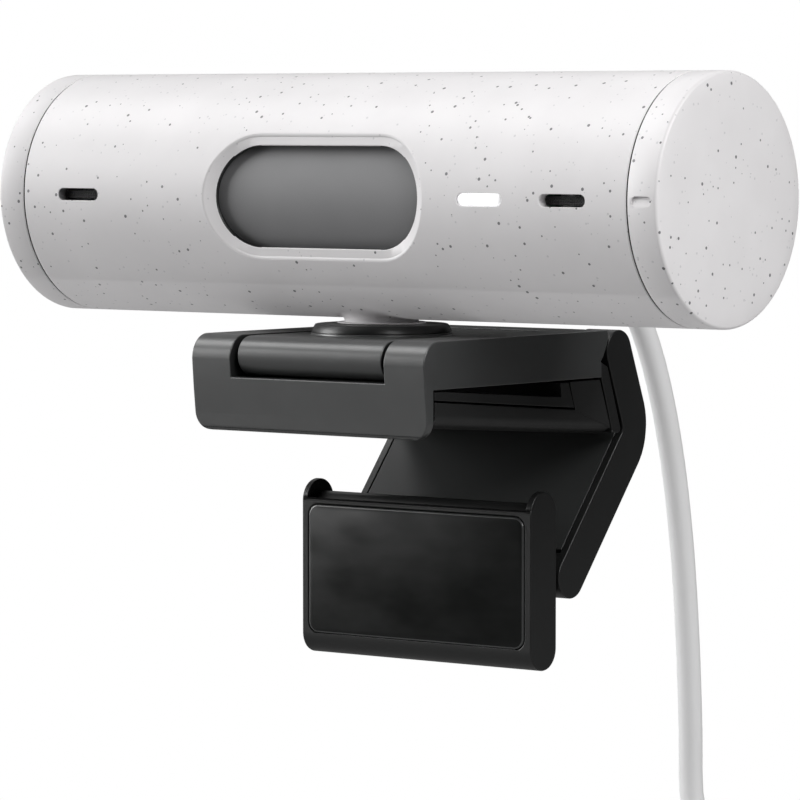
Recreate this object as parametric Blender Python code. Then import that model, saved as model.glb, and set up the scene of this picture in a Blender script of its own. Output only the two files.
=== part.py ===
# Cylindrical webcam on a folding monitor clip, built as separate sub-parts.
# +X is the dial end, -Y is the lens side, +Z is up. Lengths below are in millimetres,
# measured from the middle of the tube; the object's origin is ORIGIN, where the clip rests.
import bpy
import bmesh
from math import cos, sin, pi, radians, hypot
from mathutils import Vector

for _o in list(bpy.data.objects):
    bpy.data.objects.remove(_o, do_unlink=True)

MM = 0.001

# ---- camera tube ----
TUBE_R = 16.1          # outside radius of the camera tube
TUBE_WALL = 1.5
TUBE_HALF = 54.2       # half the overall length, end face to end face
SEAM_L = -49.25        # where the fixed cap starts
SEAM_R = 49.45         # where the turning dial starts
WINDOW_W, WINDOW_H = 32.8, 13.2      # clear opening over the shutter
BEZEL_W, BEZEL_H = 35.7, 15.9        # outer edge of its sloped bezel
MIC_X = 39.65
SLOT_W, SLOT_H = 7.0, 1.6
LED_X = 26.95
# ---- swivel under the tube ----
PAN_Y = -1.0           # the pan axis is this far in front of the tube's axis
DISC_TOP_Z = -17.0
# ---- tilting plate ----
TILT_Y, TILT_Z, BARREL_R = -13.9, -20.7, 2.55
PLATE_HALF = 12.1
PLATE_REAR = 18.0
# ---- clip ----
CLIP_HALF = 19.1       # half the width of clip, leg and foot
CLIP_TOP, CLIP_FLOOR = -18.0, -24.2
LIP_FRONT, LIP_REAR, LIP_BOTTOM = -17.0, -14.9, -30.55
LIP_LEAN = 0.8         # the lip's front leans back this much at its foot
LIP_CORNER = 2.4
LEG_Y, LEG_Z, KNUCKLE_R = 26.1, -20.8, 2.8
CENTRE_KNUCKLE = 13.3
WEDGE_Z, WEDGE_SLOPE = -30.05, -0.07  # underside of the rubber wedge, falling to the rear
ORIGIN = (0.0, PAN_Y, WEDGE_Z)
# ---- leg, link and foot ----
END_Y, END_Z, END_R = 15.2, -50.2, 2.9
FOOT_Y, FOOT_Z = 9.3, -41.9
FOOT_FRONT, FOOT_BACK = 6.1, 11.8
FOOT_TOP, FOOT_BOTTOM = -38.55, -62.1
EAR_INSIDE = 18.1      # inner face of the foot's thin ears
PAD_W, PAD_H, PAD_Z = 36.0, 17.5, -50.5
# ---- cord ----
CORD_R = 1.75
COIL_C = (0.0, 66.75, -124.0)
COIL_IN, COIL_OUT, COIL_HALF = 10.7, 25.1, 7.1
TIE_ANGLE = 50         # the tie's place on the coil, from +X towards +Z
PLUG_X, PLUG_Y = 29.3, 61.5
ROUTE = [(0, 17.2, -1.0), (0, 24, -1.0), (0, 32, -1.5), (0, 40, -3.5), (0, 47, -7.2),
         (0, 53.5, -12.4), (0, 59.3, -19.6), (0, 63.4, -27.7), (0, 66.8, -38.2),
         (0, 69.3, -50.5), (0, 70.9, -64.0), (0, 71.8, -77.5), (0, 72.0, -86.2),
         (0.9, 72.0, -90.8), (3.5, 72.0, -94.7), (6.2, 72.0, -97.4)]


# ---------------------------------------------------------------- helpers
def material(name, colour, rough, metal=0.0):
    m = bpy.data.materials.new(name)
    m.use_nodes = True
    b = m.node_tree.nodes["Principled BSDF"]
    b.inputs["Base Color"].default_value = (*colour, 1)
    b.inputs["Roughness"].default_value = rough
    b.inputs["Metallic"].default_value = metal
    m.diffuse_color = (*colour, 1)
    return m


def finish(name, bm, look, pivot=(0, 0, 0)):
    """Turn a bmesh in millimetres into a named object whose origin is on its joint axis."""
    bmesh.ops.remove_doubles(bm, verts=bm.verts, dist=1e-4)
    bmesh.ops.recalc_face_normals(bm, faces=bm.faces)
    for v in bm.verts:
        v.co = (v.co - Vector(pivot)) * MM
    me = bpy.data.meshes.new(name)
    bm.to_mesh(me)
    bm.free()
    me.polygons.foreach_set("use_smooth", [True] * len(me.polygons))
    me.set_sharp_from_angle(angle=radians(32))
    ob = bpy.data.objects.new(name, me)
    ob.location = (Vector(pivot) - Vector(ORIGIN)) * MM
    bpy.context.scene.collection.objects.link(ob)
    me.materials.append(material(name + "_look", *look))
    return ob


def loft(loops):
    """One closed solid through equal loops of points."""
    bm = bmesh.new()
    rings = [[bm.verts.new(p) for p in loop] for loop in loops]
    n = len(rings[0])
    for a, b in zip(rings, rings[1:]):
        for i in range(n):
            bm.faces.new((a[i], a[(i + 1) % n], b[(i + 1) % n], b[i]))
    bm.faces.new(list(reversed(rings[0])))
    bm.faces.new(rings[-1])
    bmesh.ops.recalc_face_normals(bm, faces=bm.faces)
    return bm


def slab(profile, x0, x1):
    """A side profile of (y, z) points, run from x0 to x1."""
    return loft([[(x0, y, z) for y, z in profile], [(x1, y, z) for y, z in profile]])


def block(x0, x1, y0, y1, z0, z1):
    return slab([(y0, z0), (y1, z0), (y1, z1), (y0, z1)], x0, x1)


def arc(cy, cz, r, a0, a1, n):
    """Points on a circle in the side view; angles in degrees from +Y towards +Z."""
    step = (a1 - a0) / n
    return [(cy + r * cos(radians(a0 + step * i)), cz + r * sin(radians(a0 + step * i)))
            for i in range(n + 1)]


def turned(profile, axis, centre, n=32):
    """A closed (along, radius) outline turned about an axis through centre."""
    bm = bmesh.new()
    cols = []
    for i in range(n):
        a = 2 * pi * i / n
        col = []
        for t, r in profile:
            u, v = r * cos(a), r * sin(a)
            p = {"X": (t, u, v), "Y": (v, t, u), "Z": (u, v, t)}[axis]
            col.append(bm.verts.new(Vector(p) + Vector(centre)))
        cols.append(col)
    m = len(profile)
    for i in range(n):
        a, b = cols[i], cols[(i + 1) % n]
        for j in range(m):
            k = (j + 1) % m
            if profile[j][1] == 0 and profile[k][1] == 0:
                continue
            bm.faces.new((a[j], a[k], b[k], b[j]))
    bmesh.ops.remove_doubles(bm, verts=bm.verts, dist=1e-4)
    bmesh.ops.dissolve_degenerate(bm, edges=bm.edges, dist=1e-5)
    bmesh.ops.recalc_face_normals(bm, faces=bm.faces)
    return bm


def rod(x0, x1, y, z, r, n=24):
    return turned([(x0, 0), (x1, 0), (x1, r), (x0, r)], "X", (0, y, z), n)


def stadium(w, h, n=7):
    """(x, z) points of a slot w wide and h high with round ends."""
    r, out = h / 2, []
    for side, start in ((1, -90), (-1, 90)):
        for i in range(n + 1):
            a = radians(start + 180 * i / n)
            out.append((side * (w / 2 - r) + r * cos(a), r * sin(a)))
    return out


def rounded(w, h, r, n=4):
    out = []
    for sx, sz, start in ((1, -1, -90), (1, 1, 0), (-1, 1, 90), (-1, -1, 180)):
        for i in range(n + 1):
            a = radians(start + 90 * i / n)
            out.append((sx * (w / 2 - r) + r * cos(a), sz * (h / 2 - r) + r * sin(a)))
    return out


def plate_y(shape, x, z, y0, y1):
    """An (x, z) outline run from y0 to y1."""
    return loft([[(x + a, y, z + b) for a, b in shape] for y in (y0, y1)])


def combine(bm, other, operation):
    """Exact boolean of two bmesh solids; both are used up and the result is returned."""
    obs = []
    for b in (bm, other):
        me = bpy.data.meshes.new("tmp")
        b.to_mesh(me)
        b.free()
        ob = bpy.data.objects.new("tmp", me)
        bpy.context.scene.collection.objects.link(ob)
        obs.append(ob)
    mod = obs[0].modifiers.new("op", "BOOLEAN")
    mod.solver, mod.operation, mod.object = "EXACT", operation, obs[1]
    dg = bpy.context.evaluated_depsgraph_get()
    out = bmesh.new()
    out.from_mesh(obs[0].evaluated_get(dg).to_mesh())
    for ob in obs:
        bpy.data.objects.remove(ob, do_unlink=True)
    bmesh.ops.remove_doubles(out, verts=out.verts, dist=2e-3)
    bmesh.ops.dissolve_limit(out, angle_limit=radians(0.1), verts=out.verts,
                             edges=out.edges, delimit=set())
    return out


def cut(bm, *tools):
    for t in tools:
        bm = combine(bm, t, "DIFFERENCE")
    return bm


def join(bm, *tools):
    for t in tools:
        bm = combine(bm, t, "UNION")
    return bm


def soften(bm, pick, size, segments=3):
    """Round the edges whose two end points both satisfy pick."""
    edges = [e for e in bm.edges if pick(e.verts[0].co, e.verts[1].co)]
    bmesh.ops.bevel(bm, geom=edges, offset=size, segments=segments, profile=0.5,
                    affect="EDGES", clamp_overlap=True)
    return bm


def patch(xs, angles, keep, r0, r1):
    """A piece of tube wall made of the kept cells of an x by angle grid."""
    bm = bmesh.new()
    store = {}

    def vert(i, j, r):
        if (i, j, r) not in store:
            a = radians(angles[j])
            store[i, j, r] = bm.verts.new((xs[i], -r * cos(a), r * sin(a)))
        return store[i, j, r]

    loop = abs(angles[-1] - angles[0]) > 359.9
    nj = len(angles) - 1
    cells = {(i, j) for i in range(len(xs) - 1) for j in range(nj) if keep(i, j)}
    for i, j in cells:
        j1 = 0 if loop and j + 1 == nj else j + 1
        q = [(i, j), (i + 1, j), (i + 1, j1), (i, j1)]
        bm.faces.new([vert(a, b, r1) for a, b in q])
        bm.faces.new([vert(a, b, r0) for a, b in reversed(q)])
        jm, jp = ((j - 1) % nj, (j + 1) % nj) if loop else (j - 1, j + 1)
        around = [((i, jm), q[0], q[1]), ((i + 1, j), q[1], q[2]),
                  ((i, jp), q[2], q[3]), ((i - 1, j), q[3], q[0])]
        for cell, a, b in around:
            if cell not in cells:
                bm.faces.new((vert(*a, r1), vert(*a, r0), vert(*b, r0), vert(*b, r1)))
    bmesh.ops.recalc_face_normals(bm, faces=bm.faces)
    return bm


WHITE = ((0.80, 0.80, 0.80), 0.45)
GRAPHITE = ((0.05, 0.052, 0.055), 0.42)
RUBBER = ((0.025, 0.025, 0.026), 0.75)
STEEL = ((0.55, 0.55, 0.56), 0.3, 1.0)
BRASS = ((0.75, 0.6, 0.3), 0.3, 1.0)
BOARD = ((0.02, 0.14, 0.08), 0.5)
BLACK = ((0.02, 0.02, 0.02), 0.4)
GLASS = ((0.02, 0.03, 0.04), 0.05)
PAN = (0, PAN_Y, DISC_TOP_Z)


# ---------------------------------------------------------------- camera tube
def camera_tube():
    r0 = TUBE_R - TUBE_WALL
    tube = turned([(SEAM_L, r0), (SEAM_R - 0.3, r0), (SEAM_R - 0.3, TUBE_R), (SEAM_L, TUBE_R)],
                  "X", (0, 0, 0), 80)
    neck = turned([(-13.6, 0), (-13.6, 5.0), (-16.1, 5.2), (-16.5, 6.1), (-16.75, 6.1),
                   (-16.75, 0)], "Z", (0, PAN_Y, 0), 32)
    tube = join(tube, neck)
    outer = [(BEZEL_W + 1.2, BEZEL_H + 1.2, -17.0), (WINDOW_W, WINDOW_H, -14.9),
             (WINDOW_W, WINDOW_H, -10.0)]
    window = loft([[(x, y, z) for x, z in stadium(w, h, 9)] for w, h, y in outer])
    slots = [plate_y(stadium(SLOT_W, SLOT_H), x, 0, -18, -12) for x in (-MIC_X, MIC_X, LED_X)]
    bore = turned([(-18, 0), (-18, 4.1), (-14.4, 4.1), (-14.4, 0)], "Z", (0, PAN_Y, 0), 24)
    exit_hole = turned([(12, 0), (12, 3.2), (18, 3.2), (18, 0)], "Y", (0, 0, -1.0), 24)
    return finish("tube_shell", cut(tube, window, *slots, bore, exit_hole), WHITE, PAN)


def end_profile(seam, sign):
    """Half section of an end cap: plain rim, small corner, slightly domed face."""
    face = sign * TUBE_HALF
    return [(face, 0), (face - sign * 0.12, 8), (face - sign * 0.3, 14.6),
            (face - sign * 0.5, 15.6), (face - sign * 1.0, TUBE_R), (seam, TUBE_R),
            (seam, 14.2), (seam - sign * 2.6, 14.2), (seam - sign * 2.6, 12.4),
            (seam + sign * 1.6, 11.8), (seam + sign * 1.6, 0)]


def end_pieces():
    cap = turned(end_profile(SEAM_L - 0.25, -1), "X", (0, 0, 0), 80)
    finish("left_end_cap", cap, WHITE, PAN)
    dial = turned(end_profile(SEAM_R, 1), "X", (0, 0, 0), 80)
    notch = plate_y(stadium(3.0, 1.3), 51.5, 0, -18, -15.6)
    finish("shutter_dial", cut(dial, notch), WHITE, (SEAM_R, 0, 0))
    bearing = turned([(41.2, 10.6), (46.4, 10.6), (46.4, 11.9), (41.2, 11.9)],
                     "X", (0, 0, 0), 48)
    finish("dial_bearing", bearing, BLACK, PAN)


def shutter():
    xs = [-19.2, 19.2, 41.5, 46.6]
    angles = [-35 + 5 * i for i in range(73)]

    def keep(i, j):
        a = angles[j]
        return i == 2 or (i == 0 and a < 70) or (i == 1 and 40 <= a < 70)

    finish("shutter_drum", patch(xs, angles, keep, 13.3, 14.1),
           ((0.30, 0.30, 0.31), 0.5), (SEAM_R, 0, 0))


def optics():
    glass = plate_y(stadium(31.5, 13.0, 6), 0, 0, -11.0, -10.2)
    finish("lens_window", glass, GLASS, PAN)
    barrel = turned([(-9.9, 3.9), (-9.9, 6.2), (-8.6, 6.2), (-8.6, 5.2), (-4.6, 5.2),
                     (-4.6, 2.6), (-8.0, 2.6), (-8.4, 3.9)], "Y", (0, 0, 0), 32)
    finish("lens_barrel", barrel, BLACK, (0, 0, 0))
    front = turned([(-9.8, 0), (-9.5, 2.2), (-8.9, 3.5), (-8.65, 3.5), (-8.65, 0)],
                   "Y", (0, 0, 0), 24)
    finish("lens_front_element", front, GLASS, (0, 0, 0))
    rear = turned([(-7.6, 0), (-7.6, 2.2), (-6.6, 2.2), (-6.3, 0)], "Y", (0, 0, 0), 20)
    finish("lens_rear_element", rear, GLASS, (0, 0, 0))
    housing = cut(block(-7.2, 7.2, -7.6, -3.4, -7.2, 7.2),
                  turned([(-9, 0), (-9, 5.6), (-2, 5.6), (-2, 0)], "Y", (0, 0, 0), 32))
    finish("autofocus_housing", housing, BLACK, PAN)
    finish("image_sensor", block(-3.4, 3.4, -3.9, -3.2, -2.6, 2.6), GLASS, PAN)
    finish("sensor_board", block(-8.6, 8.6, -2.9, -1.9, -8.0, 8.0), BOARD, PAN)


def electronics():
    frame = cut(block(-44.5, 39.5, -1.5, 0.1, -9.0, 9.0),
                block(-34, -16, -3, 2, -5, 5), block(14, 34, -3, 2, -5, 5))
    finish("chassis_frame", frame, BLACK, PAN)
    finish("main_board", block(-42, 37, 0.9, 2.1, -8.0, 8.0), BOARD, PAN)
    finish("processor_shield", block(-12, 12, 2.4, 4.6, -6.0, 6.0), STEEL, PAN)
    finish("cable_socket", block(14, 22, 2.4, 6.0, -2.5, 2.5), ((0.8, 0.8, 0.76), 0.5), PAN)
    for name, x in (("left", -MIC_X), ("right", MIC_X)):
        mesh = plate_y(stadium(SLOT_W - 0.5, SLOT_H - 0.5, 6), x, 0, -14.9, -14.2)
        finish("mic_mesh_" + name, mesh, BLACK, PAN)
    for name, x in (("left", -MIC_X), ("right", MIC_X)):
        cup = turned([(-12.9, 0), (-12.9, 2.2), (-10.9, 2.2), (-10.9, 0)], "Y", (x, 0, 0), 20)
        if x > 0:
            cup = plate_y(rounded(3.2, 4.4, 1.0, 3), 38.9, 0, -12.9, -10.9)
        finish("mic_capsule_" + name, cup, STEEL, PAN)
    guide = plate_y(stadium(SLOT_W - 0.4, SLOT_H - 0.4, 6), LED_X, 0, -16.0, -13.6)
    finish("led_light_guide", guide, ((0.9, 0.9, 0.9), 0.3), PAN)
    finish("led_chip", block(LED_X - 1.5, LED_X + 1.5, -13.0, -12.0, -0.8, 0.8),
           ((0.9, 0.9, 0.7), 0.4), PAN)
    finish("led_board", block(LED_X - 4, LED_X + 4, -11.7, -10.9, -3, 3), BOARD, PAN)
    for k, (x, z) in enumerate(((-39, 6.5), (-39, -6.5), (34, 6.5), (34, -6.5))):
        head = [(2.4, 0), (2.4, 1.5), (3.4, 1.2), (3.4, 0)]
        finish("board_screw_%d" % (k + 1), turned(head, "Y", (x, 0, z), 16), STEEL, PAN)
    insert = turned([(-16.2, 2.6), (-14.75, 2.6), (-14.75, 3.8), (-16.2, 3.8)],
                    "Z", (0, PAN_Y, 0), 24)
    finish("thread_insert", insert, BRASS, PAN)


# ---------------------------------------------------------------- tilting plate
def tilting_plate():
    pivot = (0, TILT_Y, TILT_Z)
    top = TILT_Z + BARREL_R
    bottom = top - 2.2
    end = hypot(BARREL_R, bottom - TILT_Z)
    run = (BARREL_R ** 2 - (bottom - TILT_Z) ** 2) ** 0.5
    outline = [(PLATE_REAR, bottom), (PLATE_REAR, top)]
    outline += arc(TILT_Y, TILT_Z, BARREL_R, 90, 360, 20)
    outline += [(TILT_Y + run, bottom)]
    plate = slab(outline, -PLATE_HALF, PLATE_HALF)
    plate = cut(plate, rod(-14, 14, TILT_Y, TILT_Z, 1.2, 20))
    finish("top_plate", plate, GRAPHITE, pivot)
    disc = [(top + 0.2, 4.6), (top + 0.2, 9.3), (top + 0.75, 9.2), (DISC_TOP_Z, 8.4),
            (DISC_TOP_Z, 4.6)]
    finish("swivel_disc", turned(disc, "Z", (0, PAN_Y, 0), 48), BLACK, pivot)
    magnet = [(top + 0.2, 0), (top + 0.2, 4.2), (DISC_TOP_Z - 0.1, 4.2), (DISC_TOP_Z - 0.1, 0)]
    finish("disc_magnet", turned(magnet, "Z", (0, PAN_Y, 0), 32), STEEL, pivot)


# ---------------------------------------------------------------- clip (fixed)
def lip_corner(side):
    """What is cut away to round the lip's lower corner at one side."""
    c = LIP_CORNER
    edge = [(CLIP_HALF - c + c * cos(radians(a)), LIP_BOTTOM + c + c * sin(radians(a)))
            for a in range(0, -91, -15)]
    edge += [(CLIP_HALF - c, LIP_BOTTOM - 2), (CLIP_HALF + 2, LIP_BOTTOM - 2),
             (CLIP_HALF + 2, LIP_BOTTOM + c)]
    return plate_y([(side * x, z) for x, z in edge], 0, 0, -19, LIP_REAR + 0.2)


def clip():
    r = 3.2
    foot = LIP_FRONT + LIP_LEAN
    outline = [(foot, LIP_BOTTOM + 0.4), (foot + 0.4, LIP_BOTTOM),
               (LIP_REAR - 0.3, LIP_BOTTOM), (LIP_REAR, LIP_BOTTOM + 0.3),
               (LIP_REAR, CLIP_FLOOR), (22.0, CLIP_FLOOR), (24.5, -31.3), (24.3, -31.65),
               (26.15, -31.75), (26.5, -31.2), (23.45, -22.8), (21.85, -22.1),
               (22.9, -20.6), (23.45, -19.2), (23.5, CLIP_TOP)]
    outline += arc(LIP_FRONT + r, CLIP_TOP - r, r, 90, 180, 8)
    body = slab(outline, -CLIP_HALF, CLIP_HALF)
    body = cut(body, lip_corner(1), lip_corner(-1))
    recess = [(-19, -23.5), (-10.8, -23.5), (-10.8, -20.75), (PLATE_REAR + 0.4, -20.75),
              (PLATE_REAR + 0.4, -15), (-19, -15)]
    body = cut(body, slab(recess, -PLATE_HALF - 0.5, PLATE_HALF + 0.5))
    k = CENTRE_KNUCKLE
    web = [(21.0, -23.0), (LEG_Y, -23.5), (LEG_Y, -18.1), (21.0, -18.1)]
    body = join(body, slab(web, -k, k), rod(-k, k, LEG_Y, LEG_Z, 2.7, 28))
    body = cut(body, rod(-17.6, 17.6, TILT_Y, TILT_Z, 1.2, 20),
               rod(-k - 1, k + 1, LEG_Y, LEG_Z, 1.25, 20))
    finish("clip_body", body, GRAPHITE)
    finish("front_hinge_pin", rod(-17.2, 17.2, TILT_Y, TILT_Z, 0.9, 20), STEEL)
    frame = [(LIP_REAR + 0.3, -24.5), (-12.6, -24.5), (13.1, -26.35), (12.75, -24.5),
             (14.6, -24.5), (15.9, -27.9), (LIP_REAR + 0.3, -25.5)]
    finish("wedge_frame", slab(frame, -CLIP_HALF + 0.1, CLIP_HALF - 0.1), GRAPHITE)
    y0, y1 = LIP_REAR + 0.3, 23.85
    z0, z1 = (WEDGE_Z + WEDGE_SLOPE * (y - PAN_Y) for y in (y0, y1))
    pad = [(y0, -25.75), (16.05, -28.2), (14.85, -24.45), (21.7, -24.45),
           (24.15, -31.1), (y1, z1), (y0, z0)]
    pad = slab(pad, -CLIP_HALF + 0.05, CLIP_HALF - 0.05)
    pad = soften(pad, lambda a, b: abs(a.x - b.x) < 1e-4 and abs(a.y - b.y) > 30
                 and abs(min(a.z, b.z) - z1) < 0.01, 1.8, 5)
    finish("wedge_pad", pad, RUBBER)
    for name, s in (("left", -1), ("right", 1)):
        x0, x1 = sorted((s * 13.45, s * 13.75))
        ring = turned([(x0, 1.4), (x1, 1.4), (x1, 2.5), (x0, 2.5)], "X", (0, LEG_Y, LEG_Z), 24)
        finish("friction_washer_" + name, ring, STEEL)


# ---------------------------------------------------------------- leg
def leg():
    pivot = (0, LEG_Y, LEG_Z)
    outline = arc(LEG_Y, LEG_Z, KNUCKLE_R, 203, 20, 14)
    outline += [(32.05, -28.05), (32.5, -30.0), (32.45, -32.0), (32.0, -33.9),
                (30.9, -35.9)]
    outline += arc(END_Y, END_Z, END_R, 320, 140, 12)
    outline += [(26.4, -32.25), (26.95, -31.35), (26.9, -30.5)]
    shank = slab(outline, -CLIP_HALF, CLIP_HALF)
    face = [(24.2, -25.0), (26.3, -30.4), (26.3, -31.4), (25.8, -32.1), (13.7, -46.6),
            (15.1, -47.8), (27.3, -33.0), (28.15, -31.5), (28.0, -30.05), (25.9, -24.4)]
    shank = cut(shank, slab(face, -17.0, 17.0))
    top_gap = [(20, -16), (31, -16), (31, -24.4), (20, -24.4)]
    u = Vector((0.6455, 0.7638))
    v = Vector((-0.7638, 0.6455))
    c = Vector((END_Y, END_Z))
    low_gap = [c + u * a + v * b for a, b in ((3.4, 6), (3.4, -6), (-6, -6), (-6, 6))]
    shank = cut(shank, slab(top_gap, -13.9, 13.9), slab([tuple(p) for p in low_gap],
                                                        -14.3, 14.3))
    shank = cut(shank, rod(-17.4, 17.4, LEG_Y, LEG_Z, 1.25, 20),
                rod(-17.4, 17.4, END_Y, END_Z, 1.15, 20))
    finish("leg_frame", shank, GRAPHITE, pivot)
    panel = [(25.0, -25.3), (27.05, -30.45), (27.1, -31.35), (26.5, -32.35), (14.5, -46.75),
             (15.05, -47.2), (27.05, -32.75), (27.8, -31.4), (27.7, -30.2), (25.65, -25.0)]
    finish("leg_panel", slab(panel, -16.8, 16.8), BLACK, pivot)
    finish("leg_hinge_pin", rod(-17.2, 17.2, LEG_Y, LEG_Z, 1.0, 20), STEEL, pivot)
    finish("link_pin", rod(-17.2, 17.2, END_Y, END_Z, 0.85, 20), STEEL, pivot)


# ---------------------------------------------------------------- link and foot
def link_and_foot():
    a, b = Vector((FOOT_Y, FOOT_Z)), Vector((END_Y, END_Z))
    d = (b - a).normalized()
    n = Vector((-d.y, d.x)) * 1.05
    web = [tuple(p) for p in (a + n, b + n, b - n, a - n)]
    link = slab(web, -13.9, 13.9)
    link = join(link, rod(-13.9, 13.9, END_Y, END_Z, 2.3, 24),
                rod(0.3 - EAR_INSIDE, EAR_INSIDE - 0.3, FOOT_Y, FOOT_Z, 1.7, 24))
    link = cut(link, rod(-18, 18, END_Y, END_Z, 1.1, 20), rod(-18, 18, FOOT_Y, FOOT_Z, 0.95, 20))
    finish("foot_link", link, GRAPHITE, (0, END_Y, END_Z))
    pivot = (0, FOOT_Y, FOOT_Z)
    mid = (FOOT_FRONT + FOOT_BACK) / 2
    r = (FOOT_BACK - FOOT_FRONT) / 2
    outline = arc(mid, FOOT_TOP - r, r, 0, 180, 12)
    outline += arc(mid, FOOT_BOTTOM + r, r, 180, 360, 14)
    foot = slab(outline, -CLIP_HALF, CLIP_HALF)
    foot = soften(foot, lambda p, q: abs(p.x - q.x) < 1e-4 and abs(p.z - q.z) > 15
                  and p.y < FOOT_FRONT + 0.1, 0.45, 2)
    seat = [(4, -41.3), (6.5, -41.05), (7.3, -41.3), (7.3, -44.0), (13, -44.0), (13, -36),
            (4, -36)]
    ramp = [(7.3, -43.0), (7.4, -44.4), (12.5, -50.2), (13, -43.0)]
    foot = cut(foot, slab(seat, -EAR_INSIDE, EAR_INSIDE), slab(ramp, -14.3, 14.3))
    foot = cut(foot, plate_y(rounded(PAD_W, PAD_H, 1.6), 0, PAD_Z, 5, FOOT_FRONT + 0.5))
    foot = cut(foot, rod(-18.9, 18.9, FOOT_Y, FOOT_Z, 0.95, 20))
    finish("foot_frame", foot, GRAPHITE, pivot)
    pad = plate_y(rounded(PAD_W - 0.5, PAD_H - 0.5, 1.4), 0, PAD_Z, FOOT_FRONT - 0.12,
                  FOOT_FRONT + 0.38)
    finish("foot_pad", pad, ((0.02, 0.02, 0.02), 0.2), pivot)
    finish("foot_pin", rod(-18.7, 18.7, FOOT_Y, FOOT_Z, 0.75, 20), STEEL, pivot)


# ---------------------------------------------------------------- cord
def smooth_route(points, step):
    """Points every step along a smooth curve through the route."""
    p = [Vector(q) for q in points]
    p = [p[0] * 2 - p[1]] + p + [p[-1] * 2 - p[-2]]
    dense = []
    for a, b, c, d in zip(p, p[1:], p[2:], p[3:]):
        for i in range(12):
            t = i / 12
            dense.append(0.5 * ((2 * b) + (c - a) * t + (2 * a - 5 * b + 4 * c - d) * t * t
                                + (3 * b - a - 3 * c + d) * t ** 3))
    dense.append(p[-2])
    total = sum((b - a).length for a, b in zip(dense, dense[1:]))
    count = max(2, round(total / step))
    out, want, run = [dense[0]], total / count, 0.0
    for a, b in zip(dense, dense[1:]):
        seg = (b - a).length
        while run + seg >= want * len(out) - 1e-9 and len(out) < count:
            out.append(a.lerp(b, (want * len(out) - run) / seg))
        run += seg
    return out + [dense[-1]]


def cord():
    pts = smooth_route(ROUTE, 6.0)
    cu = bpy.data.curves.new("cord_tube", "CURVE")
    cu.dimensions = "3D"
    cu.bevel_depth = CORD_R * MM
    cu.bevel_resolution = 2
    cu.use_fill_caps = True
    sp = cu.splines.new("POLY")
    sp.points.add(len(pts) - 1)
    for q, p in zip(sp.points, pts):
        q.co = (*((p - Vector(PAN)) * MM), 1)
    ob = bpy.data.objects.new("cord_tube", cu)
    ob.location = (Vector(PAN) - Vector(ORIGIN)) * MM
    bpy.context.scene.collection.objects.link(ob)
    cu.materials.append(material("cord_tube_look", (0.72, 0.72, 0.72), 0.5))
    grey = ((0.72, 0.72, 0.72), 0.5)
    boot = turned([(12.2, 2.05), (12.2, 4.2), (13.2, 4.2), (13.2, 2.9), (16.9, 2.9),
                   (17.6, 2.75), (27.0, 2.35), (27.0, 2.05)], "Y", (0, 0, -1.0), 20)
    finish("cord_boot", boot, grey, PAN)
    w = COIL_HALF
    ring = [(-w, COIL_IN + 1.2), (-w + 1.2, COIL_IN), (w - 1.2, COIL_IN), (w, COIL_IN + 1.2),
            (w, COIL_OUT - 1.2), (w - 1.2, COIL_OUT), (-w + 1.2, COIL_OUT),
            (-w, COIL_OUT - 1.2)]
    finish("cord_coil", turned(ring, "Y", COIL_C, 40), grey, PAN)
    cx, cy, cz = COIL_C
    m = (COIL_IN + COIL_OUT) / 2 - 0.3
    a = radians(TIE_ANGLE)
    bx, bz = cx + m * cos(a), cz + m * sin(a)
    outer = tie_block(bx, cy, bz, a, 3.5, 8.6, 8.2)
    inner = tie_block(bx, cy, bz, a, 6.0, 7.85, 7.45)
    finish("cord_tie", cut(outer, inner), ((0.03, 0.03, 0.03), 0.8), PAN)
    px, py = PLUG_X, PLUG_Y
    body = loft([[(px + u, py + v, z) for u, v in rounded(6.4, 11.8, 1.6, 3)]
                 for z in (cz - 29.0, cz - 8.6)])
    neck = turned([(cz - 8.9, 0), (cz - 8.9, 2.4), (cz - 2.0, 2.05), (cz - 2.0, 0)], "Z",
                  (px, py, 0), 16)
    finish("plug_overmould", join(body, neck), grey, PAN)
    shell = loft([[(px + u, py + v, z) for u, v in rounded(2.56, 8.34, 1.2, 4)]
                  for z in (cz - 35.9, cz - 29.3)])
    mouth = loft([[(px + u, py + v, z) for u, v in rounded(1.96, 7.74, 0.9, 4)]
                  for z in (cz - 36.5, cz - 31.0)])
    finish("plug_shell", cut(shell, mouth), STEEL, PAN)


def tie_block(bx, cy, bz, a, along, radial, across):
    """A box across the bundle, square to the ring at angle a."""
    out = Vector((cos(a), 0, sin(a)))
    run = Vector((-sin(a), 0, cos(a)))
    c = Vector((bx, cy, bz))
    loops = []
    for s in (-along, along):
        loops.append([c + run * s + out * radial * p + Vector((0, across * q, 0))
                      for p, q in ((-1, -1), (1, -1), (1, 1), (-1, 1))])
    return loft(loops)


camera_tube()
end_pieces()
shutter()
optics()
electronics()
tilting_plate()
clip()
leg()
link_and_foot()
cord()
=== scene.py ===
from math import cos, hypot, pi, radians, sin, sqrt

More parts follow.
